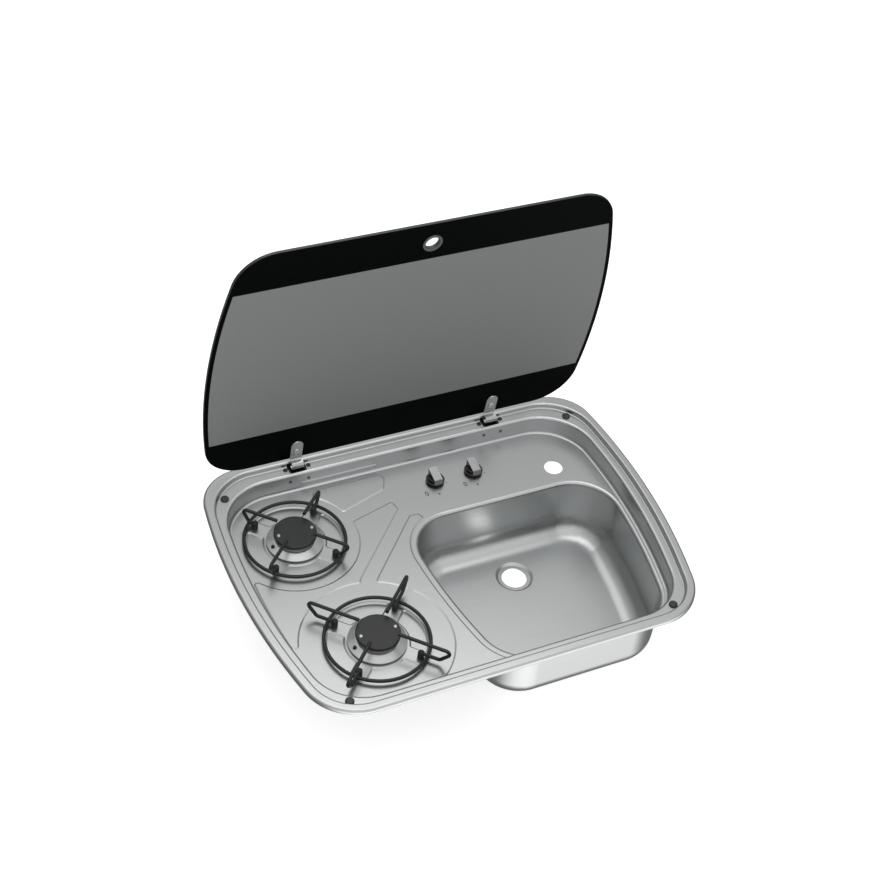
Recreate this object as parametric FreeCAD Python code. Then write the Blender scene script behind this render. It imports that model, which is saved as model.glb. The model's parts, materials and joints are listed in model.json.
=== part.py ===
import FreeCAD
import Part
import math
import os
from FreeCAD import Vector as V

# Hob and sink combo: a pressed steel pan with a two-burner hob on the left, a bowl on the right
# and a hinged glass lid. Millimetres, +X right, +Y back, +Z up, z = 0 on the worktop.

# Pan outline: straight front and back, gently bowed sides, round corners
pan_width = 600.0
pan_depth = 442.0
side_bow_r = 892.0
widest_y = 52.0
front_corner_r = 74.0
back_corner_r = 62.0
sheet = 0.8

# Rim, ledge, deck and bowl levels
rim_height = 7.0
rim_width = 13.0
rim_outer_r = 4.0
rim_inner_r = 3.0
skirt_gap = 0.5
ledge_drop = 8.0
ledge_foot_r = 1.8
ledge_width = 12.5
ledge_width_back = 18.0
ledge_edge_r = 4.0
step_back_corner_r = 70.0
recess_front_corner_r = 70.0
recess_back_corner_r = 75.0
deck_drop = 37.0
deck_foot_r = 4.0

# Bowl
bowl_from_wall = 161.0
bowl_half_width = 150.5
bowl_front_gap = 9.5
bowl_back_gap = 111.5
bowl_bow_r = 840.0
bowl_front_corner_r = 60.0
bowl_back_corner_r = 62.0
bowl_depth = 95.0
bowl_edge_r = 5.0
bowl_floor_r = 30.0
drain_from_back = 64.0
drain_r = 18.0
drain_dish_r = 27.0
drain_dish_depth = 3.0
drain_dish_slope = 4.0
tap_from_bowl = 97.5
tap_from_wall = 78.0
tap_hole_r = 13.5

# Pressed panels and wells of the hob deck
panel_height = 1.0
panel_slope = 2.2
panel_corner_r = 4.0
panel_hollow_r = 4.0
panel_wall_gap = 9.0
panel_bowl_gap = 10.5
panel_ring_rear = 86.5
panel_ring_front = 99.0
well_depth = 1.6
well_slope = 2.4
well_inner_r = 41.0
well_outer_r = 66.0
well_corner_r = 4.5
spoke_half = 9.5
spoke_turns = (45, 135)
bead_r = 4.0
bead_proud = 1.2
bead_above_deck = 9.0
bead_left_share = 0.55
bead_right_share = 1.01

# Rim seal: a ring under the rim with an inner lip that stands up against the rim underside
seal_inset = 1.2
seal_width = 5.0
seal_base = 2.8
seal_lip = 2.0

# Lid bumpers on the ledge
bumper_r = 5.85
bumper_peg_r = 2.6
bumper_back_inset = 8.4
bumper_back_deg = 38.7
bumper_front_inset = 7.9
bumper_front_deg = 62.0
bumper_height = 3.0
bumper_edge_r = 2.4
bumper_barb = 0.9
bumper_barb_h = 2.0

# Glass lid
glass = 4.0
glass_edge_r = 0.6
lid_over_bumper = 0.3
lid_side_gap = 3.0
lid_front_gap = 1.0
lid_back_gap = 6.5
lid_front_corner_r = 57.0
lid_back_corner_r = 60.0
lid_open_deg = 81.4
finger_from_front = 33.0
finger_hole_r = 11.2
finger_clear_r = 9.75
grommet_r = 13.0
grommet_lip = 1.2

# Lid hinges
hinge_x = 148.0
pivot_behind_step = 3.5
pivot_below_rim = 3.8
pin_r = 1.5
pin_fit = 0.05
knuckle_wall = 0.95
pin_head_r = 2.4
pin_head = 1.0
leaf_half = 8.4
leaf_sheet = 1.2
leaf_drop = 14.6
leaf_behind_glass = 0.5
leaf_length = 46.0
leaf_bend_r = 3.0
leaf_roll_r = 5.0
leaf_screw_at = 26.6
pad_sheet = 0.8
pad_r = 7.5
lid_screw_r = 2.2
lid_screw_head_r = 4.6
lid_screw_head = 1.6
lid_screw_edge_r = 1.0
cross_half = 2.2
cross_slot = 0.8
cross_deep = 0.8
glass_hole_r = 3.4
cap_nut_r = 6.5
cap_nut_h = 4.0
cap_nut_edge_r = 2.6
cap_nut_roof = 1.2
ear_side_gap = 1.5
ear_sheet = 2.0
ear_wall = 1.1
slot_side_gap = 1.0
slot_corner_r = 4.0
slot_front_gap = 4.0
slot_below_rim = 2.0
bracket_half = 24.0
bracket_sheet = 1.5
bracket_bend_r = 4.6
bracket_flange = 18.0
bracket_back = 0.4
bracket_back_gap = 0.3
bracket_below_top = 0.3
hinge_screw_x = 16.8
hinge_screw_gap = 5.6
hinge_screw_r = 2.0
hinge_screw_head_r = 3.4
hinge_screw_head = 1.4
hinge_screw_taper = 0.6
hinge_screw_over = 3.0
screw_slot = 0.8
screw_slot_deep = 0.7
rivet_x = 13.5
rivet_below_ledge = 12.0
rivet_r = 1.6
rivet_head_r = 2.3
rivet_head = 0.8

# Burners
rear_burner_share = 86.0 / 237.5
rear_burner_gap = 92.5
front_burner_share = 125.0 / 237.5
front_burner_gap = 97.0
burner_hole_r = 24.0
head_neck_r = 22.5
head_neck_wall = 2.5
head_floor_h = 9.0
head_floor = 2.0
crown_r = 26.0
crown_wall = 5.0
crown_h = 6.2
crown_slots = 20
crown_slot = 1.6
crown_slot_up = 0.8
mixer_r = 12.0
mixer_wall = 3.0
mixer_below = 14.0
cap_r = 29.0
cap_h = 5.0
cap_edge_r = 1.6
cap_screw_x = 23.5
cap_screw_r = 1.5
cap_screw_head_r = 2.4
cap_screw_head = 0.9
cap_screw_bite = 4.4
cap_screw_taper = 0.5
cap_screw_slot = 0.6
cap_screw_slot_deep = 0.5
skirt_r = 38.5
skirt_foot_r = 35.0
skirt_edge_h = 2.4
skirt_lip = 1.0
skirt_sheet = 1.0
skirt_top_r = 27.0
skirt_top_inset = 0.5
skirt_inset = 1.4
skirt_rise = 0.2
skirt_fit = 0.3
body_flange_r = 38.0
body_flange = 3.0
cup_r = 23.0
cup_wall = 3.0
cup_depth = 34.0
cup_floor = 4.0
boss_r = 8.0
lug_r = 4.2
lug_depth = 7.0
burner_screw_at = 16.6
burner_screw_r = 2.0
burner_screw_head_r = 3.4
burner_screw_head = 2.0
burner_screw_key = 3.0
burner_screw_key_up = 0.8
pillar_r = 4.0
air_window_w = 12.0
air_window_h = 9.0
air_window_drop = 2.0
air_window_turns = (90, 180, 270)
jet_thread_r = 3.0
jet_thread = 5.0
jet_hex_af = 9.0
jet_hex = 5.0
jet_nose_r = 2.8
jet_nose = 5.0
jet_bore_r = 0.8
port_r = 6.5
port_out = 34.0
port_bore_r = 2.0
probe_at = 33.3
probe_angle = 187.4
probe_r = 2.0
probe_top = 9.5
probe_tip_r = 1.2
probe_fit = 0.3
probe_nut_af = 8.0
probe_nut = 4.0
probe_below = 20.0
lead_r = 1.0
lead_bend_r = 16.0
lead_sag = 22.0
lead_bite = 4.0
front_lead_from_bowl = 43.0
front_lead_behind_bowl = 33.5

# Pan supports
wire_r = 2.4
ring_r = 68.0
ring_h = 6.5
finger_h = 28.5
finger_inner = 27.0
finger_turns = (45, 135, 225, 315)
finger_tip_front = 96.0
finger_tip_rear = 76.0
finger_back_deg_front = 50.0
finger_back_deg_rear = 60.0
finger_bend_r = 5.0
finger_leg_h = 8.0
foot_at = 59.4
foot_bite = 2.0
foot_r = 4.4
foot_h = 11.8
foot_edge_r = 3.2
foot_peg_r = 2.4
foot_peg_fit = 0.1
foot_barb = 0.9
foot_barb_h = 2.0

# Knobs and gas valves
valve_from_wall = 48.0
valve_left_from_bowl = 76.0
valve_right_from_bowl = 16.5
valve_r = 12.0
valve_length = 52.0
valve_neck_r = 7.0
valve_neck_h = 3.9
neck_fit = 0.2
nut_af = 16.0
nut_h = 3.4
spindle_r = 3.5
spindle_fit = 0.05
spindle_up = 11.5
spindle_flat = 2.4
spindle_flat_h = 6.0
plug_r = 6.0
plug_length = 16.0
plug_under = 12.0
plug_gap = 0.3
plug_port_r = 1.6
cup_thick = 3.0
cup_lip = 2.0
thrust_pip_r = 3.0
spring_wire = 1.1
spring_r = 4.4
spring_turns = 4.0
coil_points = 12
closure = 4.0
closure_af = 15.0
closure_head = 5.0
outlet_r = 6.0
outlet_reach = 18.0
outlet_under = 22.0
knob_flange_r = 13.25
knob_flange_low = 3.5
knob_flange_top = 5.4
knob_hub_r = 10.6
knob_hub_top = 9.0
knob_cavity_r = 9.6
knob_roof = 1.6
knob_edge = 0.7
grip_r = 12.9
grip_half = 6.2
grip_front = 11.0
grip_foot = 12.7
grip_foot_h = 4.4
grip_front_h = 12.4
grip_rear_h = 16.8
grip_edge_r = 2.0
blade_skin = 0.9

# Gas rail and pipes
rail_behind = 26.0
rail_r = 7.0
rail_wall = 1.5
rail_left_over = 22.5
rail_right_over = 53.0
inlet_boss_r = 8.0
banjo_r = 3.0
banjo_bore_r = 1.5
banjo_af = 12.0
banjo_head = 5.0
banjo_bite = 6.0
inlet_r = 4.0
inlet_wall = 1.0
inlet_length = 45.0
inlet_bead = 1.5
inlet_spigot_wall = 0.6
pipe_r = 3.0
pipe_wall = 0.7
pipe_bend_r = 14.0
pipe_nut_af = 12.0
pipe_nut_h = 9.0
rear_pipe_from_burner = 60.5
front_pipe_behind_bowl = 19.5
front_pipe_from_bowl = 25.0

# Levels that follow from the sizes above
rim_z = rim_height
ledge_z = rim_z - ledge_drop
deck_z = rim_z - deck_drop
floor_z = deck_z - bowl_depth
under_z = deck_z - sheet
lid_z = ledge_z + bumper_height + lid_over_bumper
half_w = pan_width / 2
back_y = pan_depth / 2

# Outlines are (centre x, half width, front y, back y, bow radius, front and back corner radius)
outline = (0, half_w, -back_y, back_y, side_bow_r, front_corner_r, back_corner_r)


def grown(shape, d):
    cx, half, front, back, bow, rf, rb = shape
    return (cx, half + d, front - d, back + d, bow + d, rf + d, rb + d)


step = grown(outline, -rim_width)[:6] + (step_back_corner_r,)
ledge_cut = grown(step, -ledge_width)
recess_back_y = step[3] - ledge_width_back
recess = ledge_cut[:3] + (recess_back_y, ledge_cut[4], recess_front_corner_r, recess_back_corner_r)
recess_half = recess[1]
recess_front_y = recess[2]
bowl_x = recess_half - bowl_from_wall
bowl_front_y = recess_front_y + bowl_front_gap
bowl_back_y = recess_back_y - bowl_back_gap
bowl = (bowl_x, bowl_half_width, bowl_front_y, bowl_back_y, bowl_bow_r,
        bowl_front_corner_r, bowl_back_corner_r)
lid = (0, step[1] - lid_side_gap, step[2] + lid_front_gap, step[3] - lid_back_gap, step[4] - lid_side_gap,
       lid_front_corner_r, lid_back_corner_r)

# Places of the hob, tap, drain, valves and pipes, taken from the recess walls and the bowl
bowl_left = bowl_x - bowl_half_width
hob_width = bowl_left + recess_half
burner_rear = (rear_burner_share * hob_width - recess_half, recess_back_y - rear_burner_gap)
burner_front = (front_burner_share * hob_width - recess_half, recess_front_y + front_burner_gap)
drain_y = bowl_back_y - drain_from_back
tap_x = bowl_x + tap_from_bowl
tap_y = recess_back_y - tap_from_wall
valve_y = recess_back_y - valve_from_wall
valve_left_x = bowl_x - valve_left_from_bowl
valve_right_x = bowl_x - valve_right_from_bowl
rail_left_x = valve_left_x - rail_left_over
rail_right_x = valve_right_x + rail_right_over
front_lead_x = bowl_left - front_lead_from_bowl
front_lead_y = bowl_back_y + front_lead_behind_bowl
rear_pipe_x = burner_rear[0] + rear_pipe_from_burner
front_pipe_x = bowl_left - front_pipe_from_bowl
front_pipe_y = bowl_back_y + front_pipe_behind_bowl
slot_front_y = recess_back_y + slot_front_gap
hinge_screw_y = step[3] - hinge_screw_gap

pivot_y = step[3] + pivot_behind_step
pivot_z = rim_z - pivot_below_rim


def bowed_wire(shape, z):
    cx, half, front, back, bow, rf, rb = shape
    bx = half - bow
    fy = front + rf
    by = back - rb
    fx = bx + math.sqrt((bow - rf) ** 2 - (fy - widest_y) ** 2)
    kx = bx + math.sqrt((bow - rb) ** 2 - (by - widest_y) ** 2)
    fa = math.atan2(fy - widest_y, fx - bx)
    ba = math.atan2(by - widest_y, kx - bx)
    fm = (fa - math.pi / 2) / 2
    bm = (ba + math.pi / 2) / 2
    right = [(fx, front), (fx + rf * math.cos(fm), fy + rf * math.sin(fm)),
             (bx + bow * math.cos(fa), widest_y + bow * math.sin(fa)),
             (bx + bow * math.cos((fa + ba) / 2), widest_y + bow * math.sin((fa + ba) / 2)),
             (bx + bow * math.cos(ba), widest_y + bow * math.sin(ba)),
             (kx + rb * math.cos(bm), by + rb * math.sin(bm)), (kx, back)]
    r = [V(cx + x, y, z) for x, y in right]
    q = [V(cx - x, y, z) for x, y in right]
    edges = [Part.LineSegment(q[0], r[0]).toShape()]
    edges += [Part.Arc(r[i], r[i + 1], r[i + 2]).toShape() for i in (0, 2, 4)]
    edges += [Part.LineSegment(r[6], q[6]).toShape()]
    edges += [Part.Arc(q[i + 2], q[i + 1], q[i]).toShape() for i in (4, 2, 0)]
    return Part.Wire(edges)


def corner_spot(shape, side, inset, deg):
    cx, half, front, back, bow, rf, rb = shape
    r = rb if side > 0 else rf
    y = back - rb if side > 0 else front + rf
    x = half - bow + math.sqrt((bow - r) ** 2 - (y - widest_y) ** 2)
    a = math.radians(deg)
    return (x + (r - inset) * math.cos(a), y + side * (r - inset) * math.sin(a))


def prism(shape, low, high):
    return Part.Face(bowed_wire(shape, low)).extrude(V(0, 0, high - low))


def loop(solid, shape, z):
    wire = bowed_wire(shape, z)
    found = []
    for e in solid.Edges:
        mid = e.valueAt((e.FirstParameter + e.LastParameter) / 2)
        ends = [v.Point for v in e.Vertexes] + [mid]
        if all(abs(p.z - z) < 1e-4 and wire.distToShape(Part.Vertex(p))[0] < 1e-3 for p in ends):
            found.append(e)
    return found


def rounded(solid, shape, z, r):
    return solid.makeFillet(r, loop(solid, shape, z))


def rod(r, low, high, x=0.0, y=0.0):
    return Part.makeCylinder(r, high - low, V(x, y, low))


def tube(r, bore, low, high, x=0.0, y=0.0):
    return rod(r, low, high, x, y).cut(rod(bore, low - 1, high + 1, x, y))


def bar(r, start, end):
    d = end.sub(start)
    return Part.makeCylinder(r, d.Length, start, d)


def block(x0, x1, y0, y1, z0, z1):
    return Part.makeBox(x1 - x0, y1 - y0, z1 - z0, V(x0, y0, z0))


def turned(points, x=0.0, y=0.0):
    face = Part.Face(Part.makePolygon([V(r, 0, z) for r, z in points + points[:1]]))
    solid = face.revolve(V(0, 0, 0), V(0, 0, 1), 360)
    solid.translate(V(x, y, 0))
    return solid


def hexagon(across, low, high, x=0.0, y=0.0):
    c = across / math.sqrt(3)
    pts = [V(x + c * math.cos(k * math.pi / 3), y + c * math.sin(k * math.pi / 3), low) for k in range(7)]
    return Part.Face(Part.makePolygon(pts)).extrude(V(0, 0, high - low))


def along(solid, start, direction):
    solid.Placement = FreeCAD.Placement(start, FreeCAD.Rotation(V(0, 0, 1), direction))
    return solid


def bent_path(points, r):
    edges = []
    start = points[0]
    for i in range(1, len(points) - 1):
        a = points[i - 1].sub(points[i]).normalize()
        b = points[i + 1].sub(points[i]).normalize()
        half = a.getAngle(b) / 2
        run = r / math.tan(half)
        mid = a.add(b).normalize().multiply(r / math.sin(half) - r)
        t0 = points[i].add(V(a).multiply(run))
        t1 = points[i].add(V(b).multiply(run))
        edges.append(Part.LineSegment(start, t0).toShape())
        edges.append(Part.Arc(t0, points[i].add(mid), t1).toShape())
        start = t1
    edges.append(Part.LineSegment(start, points[-1]).toShape())
    return Part.Wire(edges)


def bent_rod(points, bend_r, r):
    first = points[1].sub(points[0])
    ring = Part.Wire([Part.makeCircle(r, points[0], first)])
    return bent_path(points, bend_r).makePipeShell([ring], True, True)


def group(solids):
    return Part.makeCompound(solids)


def one(solid):
    clean = solid.removeSplitter()
    return clean.Solids[0] if len(clean.Solids) == 1 else clean


os.makedirs("parts", exist_ok=True)


def save(name, solid):
    solid.exportStep("parts/%s.step" % name)


def opened(solid):
    turned_up = solid.copy()
    turned_up.rotate(V(0, pivot_y, pivot_z), V(1, 0, 0), -lid_open_deg)
    return turned_up


# Pan: outer mass of the pressing less the air above it, so the sheet keeps one thickness
rim_shell = rounded(prism(outline, skirt_gap, rim_z), outline, rim_z, rim_outer_r)
rim_hollow = prism(grown(outline, -sheet), skirt_gap - 1, rim_z - sheet)
rim_hollow = rounded(rim_hollow, grown(outline, -sheet), rim_z - sheet, rim_outer_r - sheet)
mass = rim_shell.cut(rim_hollow)
tubs = ((step, ledge_z, rim_z, ledge_foot_r), (recess, deck_z, ledge_z, deck_foot_r),
        (bowl, floor_z, deck_z, bowl_floor_r))
skins = []
for shape, low, high, foot in tubs:
    skin = grown(shape, sheet)
    skins.append(rounded(prism(skin, low - sheet, high), skin, low - sheet, foot + sheet))
mass = mass.fuse(skins).removeSplitter()
brows = ((step, rim_z, rim_inner_r), (recess, ledge_z, ledge_edge_r), (bowl, deck_z, bowl_edge_r))
for shape, z, brow in brows:
    mass = rounded(mass, grown(shape, sheet), z - sheet, brow - sheet)
air = block(-pan_width, pan_width, -pan_depth, pan_depth, rim_z, rim_z + 20)
for shape, low, high, foot in tubs:
    air = air.fuse(rounded(prism(shape, low, high + 1), shape, low, foot))
air = air.removeSplitter()
for shape, z, brow in brows:
    air = rounded(air, shape, z, brow)


def sloped(near, far, rise):
    return Part.makeLoft([near.OuterWire, far.translated(V(0, 0, rise)).OuterWire], True, True)


def flat_face(solid, z):
    return [f for f in solid.Faces if abs(f.BoundBox.ZMin - z) < 1e-4 and abs(f.BoundBox.ZMax - z) < 1e-4][0]


def well(centre, d, top):
    x, y = centre
    low = top - well_depth
    ring = tube(well_outer_r + d, well_inner_r - d, low, top, x, y)
    arms = []
    for turn in spoke_turns:
        arm = block(-well_outer_r * 2, well_outer_r * 2, -spoke_half + d, spoke_half - d, low - 1, top + 1)
        arm.rotate(V(0, 0, 0), V(0, 0, 1), turn)
        arm.translate(V(x, y, 0))
        arms.append(arm)
    cells = []
    for cell in ring.cut(arms).Solids:
        upright = [e for e in cell.Edges if abs(e.Vertexes[0].Z - e.Vertexes[-1].Z) > 0.5]
        cell = cell.makeFillet(well_corner_r + d, upright)
        brim = flat_face(cell, top)
        cells.append(sloped(brim, brim.makeOffset2D(-well_slope), -well_depth))
    return cells


def plate(points, low, high):
    outline_wire = Part.makePolygon([V(x, y, low) for x, y in points + points[:1]])
    return Part.Face(outline_wire).extrude(V(0, 0, high - low))


# Panel corners as shares of the hob field's width, from the left wall, and of the recess depth
panel_shares = {
    "rear": [(0.7032, 0.8361), (1.0004, 0.896), (1.0383, 0.9466), (1.0253, 0.9728), (0.6042, 0.9728),
             (0.5242, 0.8962)],
    "middle": [(0.7221, 0.7839), (1.0051, 0.8314), (1.0194, 0.7881), (0.6109, 0.5211), (0.5242, 0.4034),
               (0.088, 0.3066), (-0.1074, 0.3066), (-0.1074, 0.6254), (0.0627, 0.6254), (0.3621, 0.6628)],
    "front": [(0.6905, 0.5038), (1.056, 0.746), (1.1107, 0.7455), (1.1385, 0.717), (1.1385, -0.0117),
              (0.7621, -0.0117), (0.5263, 0.2516)],
}


def panel(name, d, low, foot):
    high = foot + panel_height
    depth = recess_back_y - recess_front_y
    corners = [(u * hob_width - recess_half, v * depth + recess_front_y) for u, v in panel_shares[name]]
    area = plate(corners, low, high)
    cuts = [rod(panel_ring_rear, low - 1, high + 1, *burner_rear),
            rod(panel_ring_front, low - 1, high + 1, *burner_front),
            prism(grown(bowl, panel_bowl_gap), low - 1, high + 1)]
    area = area.cut(cuts).common(prism(grown(recess, -panel_wall_gap), low, high))
    area = max(area.Solids, key=lambda s: s.Volume)
    swollen = Part.Face(flat_face(area, low).OuterWire).makeOffset2D(panel_hollow_r)
    layers = []
    for core in swollen.makeOffset2D(-panel_hollow_r - panel_corner_r - d).Faces:
        base = core.makeOffset2D(panel_corner_r)
        crest = sloped(base, core.makeOffset2D(panel_corner_r - panel_slope), panel_height)
        layers += [base.extrude(V(0, 0, foot - low)), crest.translated(V(0, 0, foot - low))]
    return layers[0].fuse(layers[1:]).removeSplitter()


for centre in (burner_rear, burner_front):
    mass = mass.fuse(well(centre, sheet, under_z))
    air = air.fuse(well(centre, 0, deck_z))
seat_r = drain_dish_r - drain_dish_slope
seat_z = floor_z - drain_dish_depth
dish = [(0, floor_z), (drain_dish_r + sheet, floor_z), (drain_dish_r + sheet, floor_z - sheet),
        (seat_r + sheet, seat_z - sheet), (0, seat_z - sheet)]
mass = mass.fuse(turned(dish, bowl_x, drain_y))
dish = [(0, floor_z + 1), (drain_dish_r, floor_z + 1), (drain_dish_r, floor_z), (seat_r, seat_z), (0, seat_z)]
air = air.fuse(turned(dish, bowl_x, drain_y))
pan = mass.cut(air)

# Bead pressed forward in the back wall beside the rear burner
bead_y = recess_back_y + bead_r - bead_proud
bead_z = deck_z + bead_above_deck
bead_ends = [V(u * hob_width - recess_half, bead_y, bead_z) for u in (bead_left_share, bead_right_share)]


def bead(r):
    return bar(r, *bead_ends).fuse([Part.makeSphere(r, p) for p in bead_ends])


fore = block(-pan_width, pan_width, recess_back_y - bead_r, recess_back_y + sheet / 2, deck_z, ledge_z)
pan = pan.fuse(bead(bead_r).common(fore)).cut(bead(bead_r - sheet))
for name in panel_shares:
    pan = pan.fuse(panel(name, 0, deck_z - sheet / 2, deck_z))
    pan = pan.cut(panel(name, sheet, under_z - 1, under_z))


# Positions shared by the pan and the pieces fixed to it
wall_back = recess[3] + sheet
ledge_under = ledge_z - sheet
ear_in = leaf_half + ear_side_gap
ear_out = ear_in + ear_sheet
ear_r = pin_r + ear_wall
rivet_z = ledge_z - rivet_below_ledge
bumper_back = corner_spot(step, 1, bumper_back_inset, bumper_back_deg)
bumper_front = corner_spot(step, -1, bumper_front_inset, bumper_front_deg)
bumper_spots = [(s * x, y) for s in (-1, 1) for x, y in (bumper_back, bumper_front)]
burners = {"rear": burner_rear, "front": burner_front}
valves = {"left": valve_left_x, "right": valve_right_x}


def foot_spots(centre):
    turns = [math.radians(a) for a in finger_turns]
    return [(centre[0] + foot_at * math.cos(a), centre[1] + foot_at * math.sin(a)) for a in turns]


def probe_spot(centre):
    a = math.radians(probe_angle)
    return (centre[0] + probe_at * math.cos(a), centre[1] + probe_at * math.sin(a))


# Holes and slots of the pan
holes = [rod(drain_r, floor_z - 20, floor_z + 20, bowl_x, drain_y),
         rod(tap_hole_r, under_z - 5, deck_z + 5, tap_x, tap_y)]
for centre in burners.values():
    holes.append(rod(burner_hole_r, under_z - 5, deck_z + 5, *centre))
    holes.append(rod(probe_r + probe_fit, under_z - 5, deck_z + 5, *probe_spot(centre)))
    holes += [rod(foot_peg_r + foot_peg_fit, under_z - 5, deck_z + 5, *spot) for spot in foot_spots(centre)]
for x in valves.values():
    holes.append(rod(valve_neck_r + neck_fit, under_z - 5, deck_z + 5, x, valve_y))
for spot in bumper_spots:
    holes.append(rod(bumper_peg_r, ledge_under - 1, ledge_z + 1, *spot))
for side in (-hinge_x, hinge_x):
    slot_half = ear_out + slot_side_gap
    slot = block(side - slot_half, side + slot_half, slot_front_y, step[3] + sheet + slot_side_gap,
                 ledge_under - 1, rim_z - slot_below_rim)
    fronts = [e for e in slot.Edges if e.BoundBox.YMax < slot_front_y + 0.1 and e.BoundBox.ZLength > 1]
    holes.append(slot.makeFillet(slot_corner_r, fronts))
    for s in (-1, 1):
        x = side + s * hinge_screw_x
        holes.append(rod(hinge_screw_r, ledge_under - 1, ledge_z + 1, x, hinge_screw_y))
        x = side + s * rivet_x
        holes.append(bar(rivet_r, V(x, recess_back_y - 3, rivet_z), V(x, wall_back + 1, rivet_z)))
save("pan", one(pan.cut(holes)))

# Rim seal between the rim and the worktop
seal_in = seal_inset + seal_width
seal = prism(grown(outline, -seal_inset), 0, seal_base)
lip = prism(grown(outline, seal_lip - seal_in), 0, rim_z - sheet)
save("rim_seal", one(seal.fuse(lip).cut(prism(grown(outline, -seal_in), -1, rim_z))))

# Lid bumpers: soft buttons plugged into the ledge
bumpers = []
for spot in bumper_spots:
    button = rod(bumper_r, ledge_z, ledge_z + bumper_height, *spot)
    button = button.makeFillet(bumper_edge_r, [e for e in button.Edges if e.BoundBox.ZMin > ledge_z + 1])
    peg = rod(bumper_peg_r, ledge_under - 0.5, ledge_z + 0.5, *spot)
    barb_low = ledge_under - bumper_barb_h
    barb = turned([(0, ledge_under), (bumper_peg_r + bumper_barb, ledge_under), (bumper_peg_r, barb_low),
                   (0, barb_low)], *spot)
    bumpers.append(one(button.fuse([peg, barb])))
save("lid_bumpers", group(bumpers))

# Glass lid, drawn shut and then turned up to the open rest position
glass_top = lid_z + glass
finger = (0.0, lid[2] + finger_from_front)
leaf_top = lid_z - pad_sheet
leaf_low = leaf_top - leaf_sheet
screw_y = pivot_y - leaf_screw_at
pane = prism(lid, lid_z, glass_top)
pane = rounded(rounded(pane, lid, lid_z, glass_edge_r), lid, glass_top, glass_edge_r)
pane = pane.cut([rod(finger_hole_r, lid_z - 1, glass_top + 1, *finger)]
                + [rod(glass_hole_r, lid_z - 1, glass_top + 1, x, screw_y) for x in (-hinge_x, hinge_x)])
save("glass_lid", opened(one(pane)))
lip_low = lid_z - grommet_lip
lip_high = glass_top + grommet_lip
ring = turned([(finger_clear_r, lip_low), (grommet_r, lip_low), (grommet_r, lid_z), (finger_hole_r, lid_z),
               (finger_hole_r, glass_top), (grommet_r, glass_top), (grommet_r, lip_high),
               (finger_clear_r, lip_high)], *finger)
save("lid_grommet", opened(ring))

# Lid fixings: a screw through the hinge leaf and the glass, soft pads on both faces, a dome nut on top
pads = []
screws = []
nuts = []
for x in (-hinge_x, hinge_x):
    pads.append(opened(tube(pad_r, lid_screw_r, leaf_top, lid_z, x, screw_y)))
    pads.append(opened(tube(pad_r, lid_screw_r, glass_top, glass_top + pad_sheet, x, screw_y)))
    nut_low = glass_top + pad_sheet
    nut_high = nut_low + cap_nut_h
    shank_end = nut_high - cap_nut_roof
    head_low = leaf_low - lid_screw_head
    shank = rod(lid_screw_r, leaf_low - 0.5, shank_end, x, screw_y)
    head = rod(lid_screw_head_r, head_low, leaf_low, x, screw_y)
    head = head.makeFillet(lid_screw_edge_r, [e for e in head.Edges if e.BoundBox.ZMax < leaf_low - 1])
    cross = []
    for a, b in ((cross_half, cross_slot / 2), (cross_slot / 2, cross_half)):
        cross.append(block(x - a, x + a, screw_y - b, screw_y + b, head_low - 1, head_low + cross_deep))
    screws.append(opened(one(head.fuse(shank).cut(cross))))
    dome = rod(cap_nut_r, nut_low, nut_high, x, screw_y)
    dome = dome.makeFillet(cap_nut_edge_r, [e for e in dome.Edges if e.BoundBox.ZMin > nut_high - 0.1])
    nuts.append(opened(one(dome.cut(rod(lid_screw_r, nut_low - 1, shank_end, x, screw_y)))))
save("lid_pads", group(pads))
save("lid_screws", group(screws))
save("lid_cap_nuts", group(nuts))

# Hinge leaves: a strip curled round the pin, led under the rim edge and up to the inner face of the glass
knuckle_r = pin_r + pin_fit + knuckle_wall
riser_y = lid[3] + leaf_behind_glass
low_z = pivot_z - leaf_drop
tip_y = pivot_y - leaf_length


def across(solid, y, z):
    return [e for e in solid.Edges if abs(e.BoundBox.YMin - y) < 1e-3 and abs(e.BoundBox.YMax - y) < 1e-3
            and abs(e.BoundBox.ZMin - z) < 1e-3 and abs(e.BoundBox.ZMax - z) < 1e-3]


hang_y = pivot_y + knuckle_r - leaf_sheet
strip = block(-leaf_half, leaf_half, hang_y, hang_y + leaf_sheet, low_z, pivot_z)
riser_back_y = riser_y + leaf_sheet
strip = strip.fuse([block(-leaf_half, leaf_half, riser_y, hang_y + leaf_sheet, low_z, low_z + leaf_sheet),
                    block(-leaf_half, leaf_half, riser_y, riser_back_y, low_z, leaf_top),
                    block(-leaf_half, leaf_half, tip_y + leaf_half, riser_back_y, leaf_low, leaf_top)])
strip = strip.removeSplitter()
bends = ((riser_back_y, leaf_top), (hang_y + leaf_sheet, low_z))
hollows = ((riser_y, leaf_low), (hang_y, low_z + leaf_sheet))
strip = strip.makeFillet(leaf_bend_r + leaf_sheet, [e for y, z in bends for e in across(strip, y, z)])
strip = strip.makeFillet(leaf_bend_r, [e for y, z in hollows for e in across(strip, y, z)])
strip = strip.makeFillet(leaf_roll_r + leaf_sheet, across(strip, riser_y, low_z))
strip = strip.makeFillet(leaf_roll_r, across(strip, riser_back_y, low_z + leaf_sheet))
curl = bar(knuckle_r, V(-leaf_half, pivot_y, pivot_z), V(leaf_half, pivot_y, pivot_z))
leaf = strip.fuse([curl, rod(leaf_half, leaf_low, leaf_top, 0, tip_y + leaf_half)])
eye = bar(pin_r + pin_fit, V(-leaf_half - 1, pivot_y, pivot_z), V(leaf_half + 1, pivot_y, pivot_z))
leaf = leaf.cut([eye, rod(lid_screw_r, leaf_low - 1, leaf_top + 1, 0, screw_y)])
leaf = opened(one(leaf))

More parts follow.
